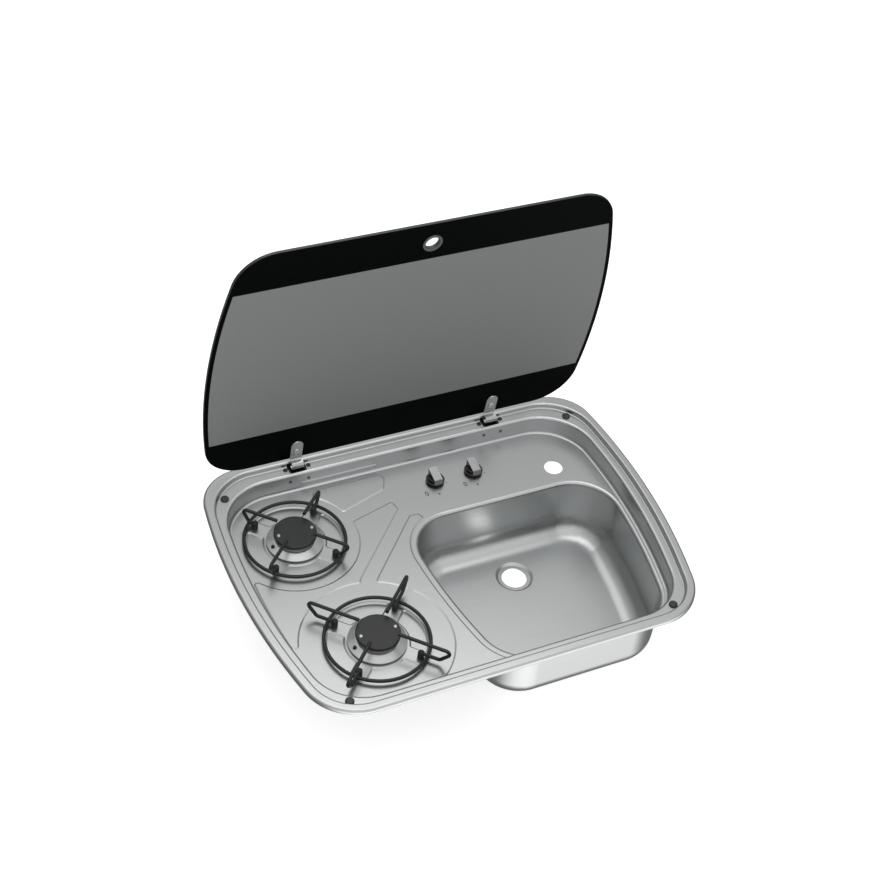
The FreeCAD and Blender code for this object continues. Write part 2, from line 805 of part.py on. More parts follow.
# Hinge brackets under the ledge: boxes with two ears that carry the pin and a thin shield behind the leaf
bracket = block(-bracket_half, bracket_half, wall_back, pivot_y + ear_r, ledge_under - bracket_sheet,
                ledge_under)
tray_low = ledge_under - bracket_flange
shield_y = hang_y + leaf_sheet + bracket_back_gap
shield_end = shield_y + bracket_back
bracket = bracket.fuse([block(-bracket_half, bracket_half, wall_back, wall_back + bracket_sheet, tray_low,
                              ledge_under),
                        block(-bracket_half, bracket_half, wall_back, shield_end, tray_low,
                              tray_low + bracket_sheet),
                        block(-bracket_half, bracket_half, shield_y, shield_end, tray_low,
                              -bracket_below_top)]).removeSplitter()
bracket = bracket.makeFillet(bracket_bend_r, across(bracket, wall_back, ledge_under))
inner = across(bracket, wall_back + bracket_sheet, ledge_under - bracket_sheet)
bracket = bracket.makeFillet(bracket_bend_r - bracket_sheet, inner)
bracket = bracket.cut(block(-ear_in, ear_in, slot_front_y, shield_y, ledge_under - 5, ledge_under + 5))
for x in (ear_in, -ear_out):
    ear = block(x, x + ear_sheet, pivot_y - ear_r, pivot_y + ear_r, ledge_under - bracket_sheet, pivot_z)
    eye = bar(ear_r, V(x, pivot_y, pivot_z), V(x + ear_sheet, pivot_y, pivot_z))
    bracket = bracket.fuse([ear, eye])
drills = [bar(pin_r, V(-ear_out - 1, pivot_y, pivot_z), V(ear_out + 1, pivot_y, pivot_z))]
for s in (-1, 1):
    drills.append(rod(hinge_screw_r, ledge_under - 5, ledge_under + 5, s * hinge_screw_x, hinge_screw_y))
    x = s * rivet_x
    drills.append(bar(rivet_r, V(x, wall_back - 1, rivet_z), V(x, wall_back + 5, rivet_z)))
bracket = one(bracket.cut(drills))

pin = bar(pin_r, V(-ear_out, pivot_y, pivot_z), V(ear_out, pivot_y, pivot_z))
ends = []
for x in (ear_out, -ear_out - pin_head):
    ends.append(bar(pin_head_r, V(x, pivot_y, pivot_z), V(x + pin_head, pivot_y, pivot_z)))
pin = one(pin.fuse(ends))
for name, x in (("left", -hinge_x), ("right", hinge_x)):
    for kind, solid in (("leaf", leaf), ("bracket", bracket), ("pin", pin)):
        save("hinge_%s_%s" % (kind, name), solid.translated(V(x, 0, 0)))

screws = []
rivets = []
for side in (-hinge_x, hinge_x):
    for s in (-1, 1):
        x = side + s * hinge_screw_x
        top = ledge_z + hinge_screw_head
        top_r = hinge_screw_head_r - hinge_screw_taper
        head = turned([(0, ledge_z), (hinge_screw_head_r, ledge_z), (top_r, top), (0, top)], x, hinge_screw_y)
        shank = rod(hinge_screw_r, ledge_under - bracket_sheet - hinge_screw_over, top - 1, x, hinge_screw_y)
        slot = block(x - hinge_screw_head_r, x + hinge_screw_head_r, hinge_screw_y - screw_slot / 2,
                     hinge_screw_y + screw_slot / 2, top - screw_slot_deep, top + 1)
        screws.append(one(head.fuse(shank).cut(slot)))
        x = side + s * rivet_x
        front = V(x, recess_back_y, rivet_z)
        rear = V(x, wall_back + bracket_sheet, rivet_z)
        heads = [bar(rivet_head_r, front, front.add(V(0, -rivet_head, 0))),
                 bar(rivet_head_r, rear, rear.add(V(0, rivet_head, 0)))]
        rivets.append(one(bar(rivet_r, front, rear).fuse(heads)))
save("hinge_screws", group(screws))
save("hinge_rivets", group(rivets))

# Burners
floor_low = deck_z + head_floor_h
floor_top = floor_low + head_floor
crown_top = floor_low + crown_h
cap_top = crown_top + cap_h
cup_low = under_z - cup_depth
boss_top = cup_low + 2 * port_r
port_z = cup_low + port_r
flange_low = under_z - body_flange
cap_screws = []
burner_screws = []
feet = []
for name, (x, y) in burners.items():
    head = tube(crown_r, crown_r - crown_wall, floor_low, crown_top, x, y)
    head = head.fuse([tube(crown_r, mixer_r - mixer_wall, floor_low, floor_top, x, y),
                      tube(mixer_r, mixer_r - mixer_wall, under_z - mixer_below, floor_top, x, y),
                      tube(head_neck_r, head_neck_r - head_neck_wall, under_z, floor_low, x, y)]
                     + [rod(pillar_r, under_z, floor_low, x, y + s * burner_screw_at) for s in (-1, 1)])
    bores = [rod(burner_screw_r, under_z - 1, floor_top + 1, x, y + s * burner_screw_at) for s in (-1, 1)]
    bite_low = crown_top - cap_screw_bite
    bores += [rod(cap_screw_r, bite_low, crown_top + 1, x + s * cap_screw_x, y) for s in (-1, 1)]
    for k in range(crown_slots):
        port = block(crown_r - crown_wall - 2, crown_r + 2, -crown_slot / 2, crown_slot / 2,
                     floor_top + crown_slot_up, crown_top + 1)
        port.rotate(V(0, 0, 0), V(0, 0, 1), (k + 0.5) * 360 / crown_slots)
        port.translate(V(x, y, 0))
        bores.append(port)
    save("burner_head_%s" % name, one(head.cut(bores)))

    cap = rod(cap_r, crown_top, cap_top, x, y)
    cap = cap.makeFillet(cap_edge_r, [e for e in cap.Edges if e.BoundBox.ZMin > cap_top - 0.1])
    cap = cap.cut([rod(cap_screw_r, crown_top - 1, cap_top + 1, x + s * cap_screw_x, y) for s in (-1, 1)])
    save("burner_cap_%s" % name, one(cap))
    for s in (-1, 1):
        sx = x + s * cap_screw_x
        top = cap_top + cap_screw_head
        top_r = cap_screw_head_r - cap_screw_taper
        button = turned([(0, cap_top), (cap_screw_head_r, cap_top), (top_r, top), (0, top)], sx, y)
        button = button.fuse(rod(cap_screw_r, bite_low, top - cap_screw_slot_deep, sx, y))
        slot = block(sx - cap_screw_head_r, sx + cap_screw_head_r, y - cap_screw_slot / 2,
                     y + cap_screw_slot / 2, top - cap_screw_slot_deep, top + 1)
        cap_screws.append(one(button.cut(slot)))
        sy = y + s * burner_screw_at
        bolt = rod(burner_screw_head_r, floor_top, floor_top + burner_screw_head, x, sy)
        bolt = bolt.fuse(rod(burner_screw_r, under_z - lug_depth, floor_top + 0.2, x, sy))
        key_low = floor_top + burner_screw_key_up
        key = hexagon(burner_screw_key, key_low, floor_top + burner_screw_head + 1, x, sy)
        burner_screws.append(one(bolt.cut(key)))

    lip_in = head_neck_r + skirt_fit
    edge = deck_z + skirt_edge_h
    skirt = turned([(lip_in, floor_low), (skirt_top_r, floor_low), (skirt_r, edge + skirt_lip),
                    (skirt_r, edge), (skirt_foot_r, deck_z), (skirt_foot_r - skirt_sheet, deck_z),
                    (skirt_r - skirt_inset, edge + skirt_rise),
                    (skirt_top_r - skirt_top_inset, floor_low - skirt_sheet),
                    (lip_in, floor_low - skirt_sheet)], x, y)
    px, py = probe_spot((x, y))
    save("burner_skirt_%s" % name, one(skirt.cut(rod(probe_r + probe_fit, deck_z - 1, cap_top, px, py))))

    cup_in = cup_r - cup_wall
    body = tube(body_flange_r, cup_in, flange_low, under_z, x, y)
    lug_low = under_z - lug_depth
    body = body.fuse([tube(cup_r, cup_in, cup_low, under_z, x, y),
                      rod(cup_r, cup_low, cup_low + cup_floor, x, y), rod(boss_r, cup_low, boss_top, x, y),
                      bar(port_r, V(x, y, port_z), V(x + port_out, y, port_z))]
                     + [rod(lug_r, lug_low, under_z, x, y + s * burner_screw_at) for s in (-1, 1)])
    bores = [rod(burner_screw_r, lug_low - 1, under_z + 1, x, y + s * burner_screw_at) for s in (-1, 1)]
    bores += [bar(port_bore_r, V(x, y, port_z), V(x + port_out + 1, y, port_z)),
              rod(port_bore_r, port_z, boss_top + 1, x, y), rod(probe_r, flange_low - 1, under_z + 1, px, py),
              rod(jet_thread_r, boss_top - jet_thread, boss_top + 1, x, y)]
    for turn in air_window_turns:
        window_top = lug_low - air_window_drop
        window = block(cup_in - 4, cup_r + 1, -air_window_w / 2, air_window_w / 2,
                       window_top - air_window_h, window_top)
        window.rotate(V(0, 0, 0), V(0, 0, 1), turn)
        window.translate(V(x, y, 0))
        bores.append(window)
    save("burner_body_%s" % name, one(body.cut(bores)))

    jet = hexagon(jet_hex_af, boss_top, boss_top + jet_hex, x, y)
    jet = jet.fuse([rod(jet_thread_r, boss_top - jet_thread, boss_top + 0.5, x, y),
                    rod(jet_nose_r, boss_top + jet_hex - 0.5, boss_top + jet_hex + jet_nose, x, y)])
    save("injector_%s" % name, one(jet.cut(rod(jet_bore_r, boss_top - 10, boss_top + 20, x, y))))

# Thermocouples: a probe clamped in the burner flange and a thin lead to the foot of its valve
valve_low = under_z - valve_length
closure_low = valve_low - closure_head
lead_z = closure_low - lead_sag
lead_turns = {"rear": [], "front": [(front_lead_x, front_lead_y), (valve_right_x, front_lead_y)]}
for name, vx in (("rear", valve_left_x), ("front", valve_right_x)):
    px, py = probe_spot(burners[name])
    tip = rod(probe_r, flange_low - probe_below, deck_z + probe_top, px, py)
    tip = tip.makeFillet(probe_tip_r, [e for e in tip.Edges if e.BoundBox.ZMin > deck_z + probe_top - 0.1])
    collar = hexagon(probe_nut_af, flange_low - probe_nut, flange_low, px, py)
    route = [V(px, py, flange_low - probe_below + 1), V(px, py, lead_z)]
    route += [V(a, b, lead_z) for a, b in lead_turns[name]]
    route += [V(vx, valve_y, lead_z), V(vx, valve_y, closure_low + lead_bite)]
    save("thermocouple_%s" % name, one(tip.fuse([collar, bent_rod(route, lead_bend_r, lead_r)])))

# Pan supports: a wire ring with four hairpin fingers, each ending in a soft foot plugged into the deck
finger_forms = {"rear": (finger_tip_rear, finger_back_deg_rear),
                "front": (finger_tip_front, finger_back_deg_front)}
for name, (tip_at, back_deg) in finger_forms.items():
    x, y = burners[name]
    ring = Part.makeTorus(ring_r, wire_r, V(x, y, deck_z + ring_h))
    slope = math.radians(back_deg)
    apex = tip_at - finger_bend_r + finger_bend_r * math.tan((math.pi - slope) / 2)
    low_at = apex - (finger_h - finger_leg_h) / math.tan(slope)
    fingers = []
    for a in finger_turns:
        c = math.cos(math.radians(a))
        s = math.sin(math.radians(a))
        route = [(finger_inner, finger_h), (apex, finger_h), (low_at, finger_leg_h),
                 (foot_at - foot_bite, finger_leg_h)]
        route = [V(x + r * c, y + r * s, deck_z + h) for r, h in route]
        fingers.append(bent_rod(route, finger_bend_r, wire_r))
        fx = x + foot_at * c
        fy = y + foot_at * s
        foot = rod(foot_r, deck_z, deck_z + foot_h, fx, fy)
        foot = foot.makeFillet(foot_edge_r, [e for e in foot.Edges if e.BoundBox.ZMin > deck_z + 1])
        peg = rod(foot_peg_r, under_z - 0.5, deck_z + 0.5, fx, fy)
        barb_low = under_z - foot_barb_h
        barb = turned([(0, under_z), (foot_peg_r + foot_barb, under_z), (foot_peg_r, barb_low),
                       (0, barb_low)], fx, fy)
        socket = bar(wire_r, route[3], route[3].add(V(20 * c, 20 * s, 0)))
        feet.append(one(foot.fuse([peg, barb]).cut(socket)))
    save("grate_%s" % name, one(ring.fuse(fingers)))
save("cap_screws", group(cap_screws))
save("burner_screws", group(burner_screws))
save("grate_feet", group(feet))

# Gas valves, knobs and their push-and-turn spindles
port_zv = under_z - outlet_under
rail_y = valve_y + rail_behind
plug_top = under_z - plug_under - plug_gap
plug_low = plug_top - plug_length
disc_low = plug_low - cup_thick
closure_top = valve_low + closure
spring_h = disc_low - closure_top
neck_top = deck_z + valve_neck_h
outlets = {"left": V(-1, 0, 0), "right": V(0, -1, 0)}


def coil_spring(foot):
    steps = int(spring_turns * coil_points)
    rise = (spring_h - spring_wire) / steps
    points = []
    for k in range(steps + 1):
        a = 2 * math.pi * k / coil_points
        points.append(foot.add(V(spring_r * math.cos(a), spring_r * math.sin(a), k * rise)))
    curve = Part.BSplineCurve()
    curve.interpolate(points)
    start = curve.tangent(curve.FirstParameter)[0]
    ring = Part.Wire([Part.makeCircle(spring_wire / 2, points[0], start)])
    return Part.Wire([curve.toShape()]).makePipeShell([ring], True, True)


rail_line = bar(rail_r, V(rail_left_x, rail_y, port_zv), V(rail_right_x, rail_y, port_zv))
locknuts = []
closures = []
banjos = []
pipe_nuts = []
rail_cuts = []
for name, x in valves.items():
    core = V(x, valve_y, port_zv)
    out = outlets[name]
    outlet_end = core.add(V(out).multiply(outlet_reach))
    face = V(x, rail_y - rail_r, port_zv)
    body = rod(valve_r, valve_low, under_z, x, valve_y)
    body = body.fuse([rod(valve_neck_r, under_z - 1, neck_top, x, valve_y), bar(outlet_r, core, outlet_end),
                      bar(inlet_boss_r, core, V(x, rail_y, port_zv)).cut(rail_line)])
    bores = [rod(plug_r + spindle_fit, valve_low - 1, under_z - plug_under, x, valve_y),
             rod(spindle_r + spindle_fit, under_z - plug_under - 1, neck_top + 1, x, valve_y),
             bar(port_bore_r, core, outlet_end.add(out)), bar(port_bore_r, core, face),
             bar(banjo_r, face.add(V(0, -banjo_bite, 0)), face.add(V(0, 5, 0)))]
    save("valve_%s" % name, one(body.cut(bores)))

    shaft_top = deck_z + spindle_up
    flat = block(x - plug_r, x + plug_r, valve_y + spindle_flat, valve_y + plug_r, shaft_top - spindle_flat_h,
                 shaft_top + 1)
    shaft = rod(spindle_r, plug_top - 1, shaft_top, x, valve_y).cut(flat)
    plug = rod(plug_r, plug_low, plug_top, x, valve_y)
    duct = bar(plug_port_r, core.add(V(-10, -10, 0)), core.add(V(10, 10, 0)))
    save("spindle_%s" % name, one(shaft.fuse(plug).cut(duct)))
    thrust = rod(plug_r, disc_low, plug_low, x, valve_y)
    thrust = thrust.fuse(rod(thrust_pip_r, disc_low - cup_lip, disc_low, x, valve_y))
    save("thrust_disc_%s" % name, one(thrust))
    save("valve_spring_%s" % name, coil_spring(V(x, valve_y, closure_top + spring_wire / 2)))
    stop = rod(plug_r + spindle_fit, valve_low, closure_top, x, valve_y)
    stop = stop.fuse(hexagon(closure_af, closure_low, valve_low, x, valve_y))
    closures.append(one(stop.cut(rod(lead_r, closure_low - 1, closure_low + lead_bite, x, valve_y))))
    locknut = hexagon(nut_af, deck_z, deck_z + nut_h, x, valve_y)
    locknuts.append(one(locknut.cut(rod(valve_neck_r, deck_z - 1, deck_z + nut_h + 1, x, valve_y))))

    flange_z = deck_z + knob_flange_low
    flange_top = deck_z + knob_flange_top
    hub_top = deck_z + knob_hub_top
    roof = hub_top - knob_roof
    base = turned([(0, flange_z), (knob_flange_r, flange_z), (knob_flange_r, flange_top - knob_edge),
                   (knob_flange_r - knob_edge, flange_top), (knob_hub_r, flange_top),
                   (knob_hub_r, hub_top - knob_edge), (knob_hub_r - knob_edge, hub_top), (0, hub_top)],
                  x, valve_y)
    front_y = valve_y - grip_front
    toe_y = valve_y - grip_foot
    rear_y = valve_y + grip_r
    toe_z = deck_z + grip_foot_h
    front_z = deck_z + grip_front_h
    rear_z = deck_z + grip_rear_h
    solids = []
    for skin in (0, blade_skin):
        pts = [(toe_y + skin, toe_z), (front_y + skin, front_z - skin), (rear_y, rear_z - skin),
               (rear_y, toe_z)]
        poly = Part.makePolygon([V(x - grip_half, a, b) for a, b in pts + pts[:1]])
        grip = Part.Face(poly).extrude(V(2 * grip_half, 0, 0))
        grip = grip.makeFillet(grip_edge_r - skin, across(grip, front_y + skin, front_z - skin))
        solids.append(grip.common(rod(grip_r, toe_z - 1, rear_z + 1, x, valve_y)))
    skin = solids[0].cut(solids[1])
    knob = base.fuse(solids[1]).cut([skin, rod(knob_cavity_r, flange_z - 1, roof, x, valve_y),
                                     rod(spindle_r, roof - 1, shaft_top, x, valve_y).cut(flat)])
    save("knob_%s" % name, one(knob))
    save("knob_blade_%s" % name, one(skin))

    rail_cuts.append(bar(banjo_r, V(x, rail_y - 20, port_zv), V(x, rail_y + 20, port_zv)))
    back = V(x, rail_y + rail_r, port_zv)
    bolt = bar(banjo_r, face.add(V(0, -banjo_bite, 0)), back)
    bolt = bolt.fuse(along(hexagon(banjo_af, 0, banjo_head), back, V(0, 1, 0)))
    cross = bar(banjo_bore_r, V(x - 10, rail_y, port_zv), V(x + 10, rail_y, port_zv))
    length = bar(banjo_bore_r, face.add(V(0, -20, 0)), V(x, rail_y + 2, port_zv))
    banjos.append(one(bolt.cut([length, cross])))

# Gas rail behind the valves with the supply stub at its right end
rail_end = V(rail_right_x, rail_y, port_zv)
inlet_bore_r = inlet_r - inlet_wall
spigot_r = inlet_bore_r + inlet_spigot_wall
bore_end = V(rail_right_x - rail_wall, rail_y, port_zv)
rail_bore = bar(rail_r - rail_wall, V(rail_left_x + rail_wall, rail_y, port_zv), bore_end)
socket = bar(spigot_r, bore_end, rail_end)
save("gas_rail", one(rail_line.cut([rail_bore, socket] + rail_cuts)))
stub = turned([(inlet_bore_r, -rail_wall), (spigot_r, -rail_wall), (spigot_r, 0), (inlet_r + inlet_bead, 0),
               (inlet_r, inlet_bead), (inlet_r, inlet_length), (inlet_bore_r, inlet_length)])
save("gas_inlet", along(stub, rail_end, V(1, 0, 0)))

# Burner pipes from the valve outlets to the burner bodies
rear_x, rear_y = burner_rear
front_x, front_y = burner_front
routes = {
    "rear": [V(valve_left_x - outlet_reach, valve_y, port_zv), V(rear_pipe_x, valve_y, port_zv),
             V(rear_pipe_x, rear_y, port_z), V(rear_x + port_out, rear_y, port_z)],
    "front": [V(valve_right_x, valve_y - outlet_reach, port_zv), V(valve_right_x, front_pipe_y, port_zv),
              V(front_pipe_x, front_pipe_y, port_zv), V(front_pipe_x, front_y, port_z),
              V(front_x + port_out, front_y, port_z)],
}
for name, route in routes.items():
    pipe = bent_rod(route, pipe_bend_r, pipe_r).cut(bent_rod(route, pipe_bend_r, pipe_r - pipe_wall))
    save("burner_pipe_%s" % name, one(pipe))
    for end, inward in ((route[0], route[1].sub(route[0])), (route[-1], route[-2].sub(route[-1]))):
        nut = hexagon(pipe_nut_af, 0, pipe_nut_h).cut(rod(pipe_r, -1, pipe_nut_h + 1))
        pipe_nuts.append(along(nut, end, inward))
save("pipe_nuts", group(pipe_nuts))
save("rail_bolts", group(banjos))
save("valve_nuts", group(locknuts))
save("valve_closures", group(closures))
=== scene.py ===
import json
import math
import bpy
from mathutils import Matrix, Vector

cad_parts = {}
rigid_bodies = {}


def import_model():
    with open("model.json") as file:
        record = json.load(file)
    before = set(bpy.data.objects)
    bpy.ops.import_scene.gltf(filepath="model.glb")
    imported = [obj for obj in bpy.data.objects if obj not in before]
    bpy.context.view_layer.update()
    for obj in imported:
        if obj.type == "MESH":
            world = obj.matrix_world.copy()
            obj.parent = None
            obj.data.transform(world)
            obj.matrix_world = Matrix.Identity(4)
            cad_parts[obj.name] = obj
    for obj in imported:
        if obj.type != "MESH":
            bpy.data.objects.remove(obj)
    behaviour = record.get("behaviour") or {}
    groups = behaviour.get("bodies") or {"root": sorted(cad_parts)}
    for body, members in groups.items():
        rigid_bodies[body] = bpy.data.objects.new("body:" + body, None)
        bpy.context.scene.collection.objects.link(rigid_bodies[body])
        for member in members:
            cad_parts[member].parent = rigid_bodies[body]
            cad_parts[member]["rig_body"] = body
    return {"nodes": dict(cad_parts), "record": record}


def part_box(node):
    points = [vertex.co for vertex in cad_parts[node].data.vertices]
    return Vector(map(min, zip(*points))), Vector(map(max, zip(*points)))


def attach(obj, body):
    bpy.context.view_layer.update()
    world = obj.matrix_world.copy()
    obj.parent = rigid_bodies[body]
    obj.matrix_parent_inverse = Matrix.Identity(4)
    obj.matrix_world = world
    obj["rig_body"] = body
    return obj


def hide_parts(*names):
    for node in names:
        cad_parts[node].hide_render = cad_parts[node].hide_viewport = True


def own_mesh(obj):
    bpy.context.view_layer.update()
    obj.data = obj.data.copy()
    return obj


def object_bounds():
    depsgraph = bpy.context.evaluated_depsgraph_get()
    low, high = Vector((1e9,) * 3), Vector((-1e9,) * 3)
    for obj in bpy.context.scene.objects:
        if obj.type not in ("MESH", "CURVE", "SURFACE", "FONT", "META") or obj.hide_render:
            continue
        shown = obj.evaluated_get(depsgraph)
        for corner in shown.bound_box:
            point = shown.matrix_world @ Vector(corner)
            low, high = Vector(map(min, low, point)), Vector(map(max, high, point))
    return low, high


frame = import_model()
cad_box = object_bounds()

# Pan: one deep-drawn pressing of 0.8 mm stainless sheet, with rim, ledge, deck, panels and bowl in one piece.
# The satin sheet keeps the fine rolled grain along X, which spreads every highlight sideways. The panels and
# wells keep crisp edges, so that each reads as a thin dark and bright line.


def linear(code):
    channels = [int(code[i:i + 2], 16) / 255 for i in (1, 3, 5)]
    return [c / 12.92 if c <= 0.04045 else ((c + 0.055) / 1.055) ** 2.4 for c in channels] + [1.0]


def add(tree, kind, links=None, settings=None, **values):
    node = tree.nodes.new(kind)
    for name, value in (settings or {}).items():
        setattr(node, name, value)
    for name, value in values.items():
        node.inputs[name.replace("_", " ")].default_value = value
    for name, source in (links or {}).items():
        tree.links.new(source, node.inputs[name])
    return node


def finish(name, code, shade, rough, stretch, depth=0.0, metallic=0.0, coat=0.0):
    material = bpy.data.materials.new(name)
    material.use_nodes = True
    tree = material.node_tree
    shader = tree.nodes["Principled BSDF"]
    shader.inputs["Metallic"].default_value = metallic
    shader.inputs["Coat Weight"].default_value = coat
    place = add(tree, "ShaderNodeTexCoord")
    scaled = add(tree, "ShaderNodeMapping", {"Vector": place.outputs["Object"]}, Scale=stretch)
    noise = add(tree, "ShaderNodeTexNoise", {"Vector": scaled.outputs["Vector"]}, Scale=1.0, Detail=4.0)
    blend = add(tree, "ShaderNodeMix", {"Factor": noise.outputs["Fac"]}, {"data_type": "RGBA"})
    for socket, colour in ((6, code), (7, shade)):
        blend.inputs[socket].default_value = linear(colour)
    tree.links.new(blend.outputs[2], shader.inputs["Base Color"])
    spread = add(tree, "ShaderNodeMapRange", {"Value": noise.outputs["Fac"]}, To_Min=rough[0],
                 To_Max=rough[1])
    tree.links.new(spread.outputs["Result"], shader.inputs["Roughness"])
    if depth:
        bump = add(tree, "ShaderNodeBump", {"Height": noise.outputs["Fac"]}, Strength=0.4, Distance=depth)
        tree.links.new(bump.outputs["Normal"], shader.inputs["Normal"])
    return material


def piece(node, name, material, angle=30, edge=0.0):
    weld_gap = 2e-6
    flat_angle = math.radians(0.5)
    corner_angle = math.radians(50)
    source = frame["nodes"][node]
    made = bpy.data.objects.new(name, source.data.copy())
    bpy.context.scene.collection.objects.link(made)
    bpy.ops.object.select_all(action="DESELECT")
    made.select_set(True)
    bpy.context.view_layer.objects.active = made
    bpy.ops.object.mode_set(mode="EDIT")
    bpy.ops.mesh.select_all(action="SELECT")
    bpy.ops.mesh.customdata_custom_splitnormals_clear()
    bpy.ops.mesh.remove_doubles(threshold=weld_gap)
    if edge:
        bpy.ops.mesh.dissolve_limited(angle_limit=flat_angle)
    bpy.ops.object.mode_set(mode="OBJECT")
    if edge:
        bevel = made.modifiers.new("rounded", "BEVEL")
        bevel.width = edge
        bevel.segments = 2
        bevel.limit_method = "ANGLE"
        bevel.angle_limit = corner_angle
        bpy.ops.object.modifier_apply(modifier=bevel.name)
    bpy.ops.object.shade_smooth_by_angle(angle=math.radians(angle))
    weighted = made.modifiers.new("even", "WEIGHTED_NORMAL")
    weighted.keep_sharp = True
    weighted.weight = 90
    bpy.ops.object.modifier_apply(modifier=weighted.name)
    made.data.materials.clear()
    made.data.materials.append(material)
    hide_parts(node)
    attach(made, source["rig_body"])
    return made


satin = finish("satin_stainless_sheet", "#c0c2c2", "#b5b7b7", (0.28, 0.36), (30, 900, 900), metallic=1.0)
pan = piece("pan", "pan_pressing", satin, angle=20)

# Rim seal: a closed ring of extruded black rubber, stuck under the rim and squeezed on to the worktop.
# Its skin is matt with a fine grain, so it reads as a plain dark line.
rubber = finish("black_extruded_rubber", "#121212", "#1c1c1c", (0.55, 0.7), (300, 300, 300), 0.00005)
piece("rim_seal", "rim_seal_strip", rubber)

# Lid bumpers: four domed rubber buttons, pushed into holes in the ledge where the lid comes down.
# The dark grey rubber is soft and a little waxy, so the crown of each dome shows a dull light.
soft_grey = finish("soft_grey_rubber", "#242526", "#2f3031", (0.34, 0.44), (500, 500, 500), 0.00003)
piece("lid_bumpers", "lid_bumper_buttons", soft_grey)

# Burner bodies and heads: die-cast aluminium, clamped from both sides of the deck by two screws each.
# They are left as cast, with a fine sandy skin that dulls the metal.
cast = finish("die_cast_aluminium", "#b4b4b1", "#9a9a97", (0.38, 0.52), (450, 450, 450), 0.00006,
              metallic=1.0)
for name in ("burner_body_rear", "burner_body_front", "burner_head_rear", "burner_head_front"):
    piece(name, name + "_casting", cast)

# Skirts: stainless rings that lie round the heads and keep spills off the burner holes.
# Each is spun on a lathe, which leaves fine rings round its axis, one about every millimetre.
ring_pitch = 0.001
for name in ("burner_skirt_rear", "burner_skirt_front"):
    spun = finish("spun_stainless_" + name, "#cfd1d1", "#a9abab", (0.3, 0.44), (1, 1, 0), metallic=1.0)
    tree = spun.node_tree
    low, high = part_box(name)
    about_axis = tree.nodes["Mapping"]
    about_axis.inputs["Location"].default_value = (-(low[0] + high[0]) / 2, -(low[1] + high[1]) / 2, 0)
    radius = add(tree, "ShaderNodeVectorMath", {0: about_axis.outputs["Vector"]}, {"operation": "LENGTH"})
    rings = tree.nodes["Noise Texture"]
    rings.noise_dimensions = "1D"
    rings.inputs["Scale"].default_value = 1 / ring_pitch
    tree.links.new(radius.outputs["Value"], rings.inputs["W"])
    piece(name, name + "_ring", spun)

# Burner caps: steel discs in black vitreous enamel, each held on its head by two small screws.
# The enamel is matt with a faint pebble, so a cap shows one broad dull light.
enamel = finish("matt_black_enamel", "#1d1e20", "#272829", (0.36, 0.46), (260, 260, 260), 0.00004)
for name in ("burner_cap_rear", "burner_cap_front"):
    piece(name, name + "_disc", enamel)

# Screws, hinge pins and dome nuts: small steel parts, turned and left bright.
# Their machined skin is smoother than the sheet and catches small sharp lights.
turned = finish("bright_turned_steel", "#d4d5d4", "#c0c1c1", (0.2, 0.3), (900, 900, 900), metallic=1.0)
for name in ("cap_screws", "burner_screws", "lid_screws", "lid_cap_nuts", "hinge_pin_left",
             "hinge_pin_right"):
    piece(name, name + "_bright", turned)

# Thermocouples: a steel probe beside each head, on a thin lead that runs under the deck to its valve.
# The flame has darkened the steel to a brown grey.
probe = finish("heat_darkened_steel", "#3a3836", "#4c4641", (0.4, 0.55), (300, 300, 300), metallic=1.0)
for name in ("thermocouple_rear", "thermocouple_front"):
    piece(name, name + "_probe", probe)

# Pan supports: a wire ring with four welded hairpin fingers, coated satin black.
# The wire ends stand in black rubber feet that plug into the deck.
coated = finish("satin_black_coating", "#0f1011", "#18191b", (0.36, 0.48), (350, 350, 350), 0.00005)
for name in ("grate_rear", "grate_front"):
    piece(name, name + "_wire", coated)
foot_rubber = finish("black_foot_rubber", "#111112", "#191a1b", (0.5, 0.62), (400, 400, 400), 0.00004)
piece("grate_feet", "grate_foot_studs", foot_rubber)

# Valves, spindles, injectors, unions and bolts: brass, turned and drilled, all under the deck.
# Fresh turned brass is yellow with a slightly uneven shine.
brass = finish("turned_brass", "#b9974e", "#a98740", (0.24, 0.36), (500, 500, 500), metallic=1.0)
for name in ("injector_rear", "injector_front", "valve_left", "valve_right", "spindle_left", "spindle_right",
             "thrust_disc_left", "thrust_disc_right", "valve_nuts", "valve_closures", "rail_bolts",
             "pipe_nuts"):
    piece(name, name + "_brass", brass)

# Valve springs: coils of bright steel wire in the valves, which lift the thrust discs and the knobs.
# Each stands on its closure and is drawn at one length, on its own copy of the mesh; the real spring shortens
# as its knob is pushed.
wire = finish("bright_spring_wire", "#d4d5d4", "#c0c1c1", (0.2, 0.3), (900, 900, 900), metallic=1.0)
joints = {joint["name"]: joint for joint in frame["record"]["behaviour"]["joints"]}
for side in ("left", "right"):
    spring = piece("valve_spring_" + side, "valve_spring_" + side + "_bright", wire)
    low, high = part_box("valve_spring_" + side)
    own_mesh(spring)

# Gas rail: a steel tube closed at both ends, bolted to the back of both valves.
# Its zinc plating is a cloudy, slightly warm grey.
zinc = finish("zinc_plated_steel", "#a9aaa4", "#93958f", (0.32, 0.46), (120, 120, 120), metallic=1.0)
piece("gas_rail", "gas_rail_tube", zinc)

# Supply stub and burner pipes: copper tube, soldered to the rail or bent on to the burner unions.
# Handling has dulled the copper in soft patches.
copper = finish("drawn_copper", "#b2714d", "#9a5c3d", (0.28, 0.42), (140, 140, 140), metallic=1.0)
for name in ("gas_inlet", "burner_pipe_rear", "burner_pipe_front"):
    piece(name, name + "_tube", copper)

